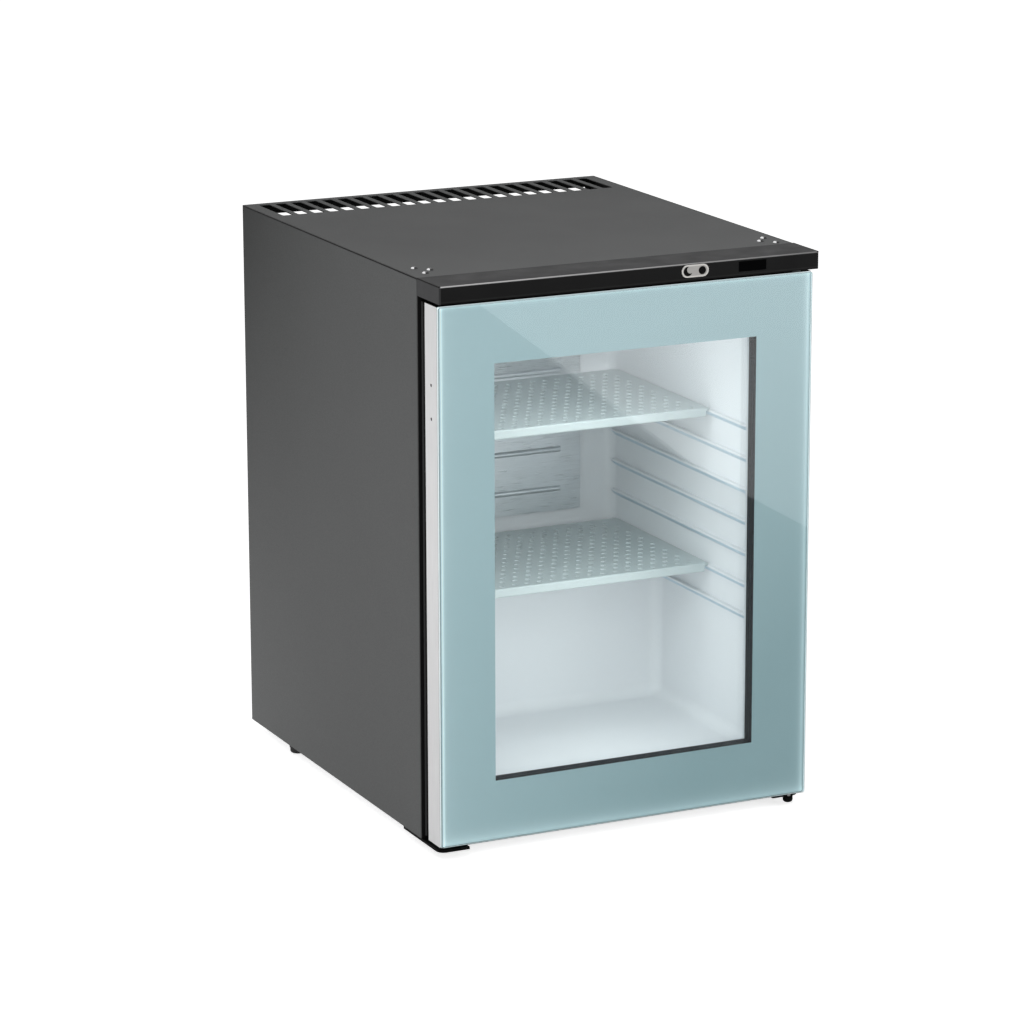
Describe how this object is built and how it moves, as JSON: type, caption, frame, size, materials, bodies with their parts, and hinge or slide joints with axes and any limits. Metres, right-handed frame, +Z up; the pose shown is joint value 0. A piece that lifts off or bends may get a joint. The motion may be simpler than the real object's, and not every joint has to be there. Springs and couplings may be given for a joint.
{
  "type": "minibar fridge",
  "caption": "Compact minibar fridge with a framed glass door on a vertical hinge, perforated sliding shelves, a vented top panel and a condenser at the back.",
  "frame": {"origin": "on the floor, under the middle of the bounding box", "axes": "+X to the right seen from the front, +Y to the back, +Z up; the door faces -Y"},
  "size_m": [0.402, 0.485, 0.5633],
  "materials": {
    "shell_coat": "fine textured powder coat",
    "zinc_sheet": "galvanised",
    "fascia": "satin",
    "badge": "satin",
    "button": "gloss",
    "display": "gloss",
    "circuit_board": "matte",
    "black_plastic": "matte",
    "grey_plastic": "matte",
    "clear_glass": "polished",
    "glass_print": "printed behind the glass",
    "spacer": "matte",
    "door_profile": "satin silver",
    "white_moulding": "satin",
    "gasket": "soft",
    "magnet": "matte",
    "steel": "plain",
    "bright_steel": "plated",
    "bracket_coat": "satin black",
    "rubber": "matte",
    "foam": "foam",
    "shelf_coat": "satin white",
    "cold_plate": "mill",
    "lamp_cover": "translucent",
    "compressor_coat": "satin black",
    "copper": "drawn copper"
  },
  "bodies": {
    "cabinet": {"left_side_panel": "shell_coat", "right_side_panel": "shell_coat", "top_panel": "shell_coat", "base_pan": "zinc_sheet", "top_rail": "zinc_sheet", "rear_bulkhead": "zinc_sheet", "back_screws": "steel", "inner_liner": "white_moulding", "foam_insulation": "foam", "left_top_plate": "zinc_sheet", "top_hinge_plate": "zinc_sheet", "top_rivets": "steel", "control_fascia": "fascia", "badge_plate": "badge", "display_window": "display", "control_board": "circuit_board", "display_module": "black_plastic", "button_switch": "black_plastic", "upper_hinge_pin": "steel", "lower_hinge_pin": "steel", "left_corner_bracket": "bracket_coat", "lower_hinge_bracket": "bracket_coat", "bracket_screws": "steel", "lower_hinge_nut": "bracket_coat", "feet": "rubber", "evaporator_plate": "cold_plate", "lamp_cover": "lamp_cover", "lamp_board": "circuit_board", "temperature_probe": "bright_steel", "probe_clip": "white_moulding", "drain_tube": "grey_plastic", "compressor_plate": "zinc_sheet", "compressor": "compressor_coat", "compressor_grommets": "rubber", "compressor_bolts": "steel", "relay_box": "black_plastic", "evaporating_tray": "grey_plastic", "electronics_box": "grey_plastic", "power_inlet": "black_plastic", "condenser_tube": "compressor_coat", "condenser_wires": "compressor_coat", "condenser_clips": "grey_plastic", "filter_drier": "copper", "discharge_pipe": "copper", "liquid_pipe": "copper", "suction_pipe": "copper", "capillary_tube": "copper"},
    "door": {"door_front_glass": "clear_glass", "border_print": "glass_print", "glazing_spacer": "spacer", "door_inner_glass": "clear_glass", "door_frame": "door_profile", "door_inner_frame": "white_moulding", "door_gasket": "gasket", "gasket_magnets": "magnet", "upper_hinge_block": "grey_plastic", "lower_hinge_block": "grey_plastic"},
    "night_button": {"night_button": "button"},
    "upper_shelf": {"upper_shelf": "shelf_coat"},
    "lower_shelf": {"lower_shelf": "shelf_coat"}
  },
  "joints": [
    {"name": "door_hinge", "type": "hinge", "parent": "cabinet", "child": "door", "pos_m": [0.1855, -0.224, 0.2775], "axis": [0, 0, 1], "range_deg": [0, 110]},
    {"name": "night_button_press", "type": "slide", "parent": "cabinet", "child": "night_button", "axis": [0, 1, 0], "range_m": [0, 0.001], "stiffness_N_per_m": 400},
    {"name": "upper_shelf_slide", "type": "slide", "parent": "cabinet", "child": "upper_shelf", "axis": [0, -1, 0], "range_m": [0, 0.09]},
    {"name": "lower_shelf_slide", "type": "slide", "parent": "cabinet", "child": "lower_shelf", "axis": [0, -1, 0], "range_m": [0, 0.09]}
  ]
}
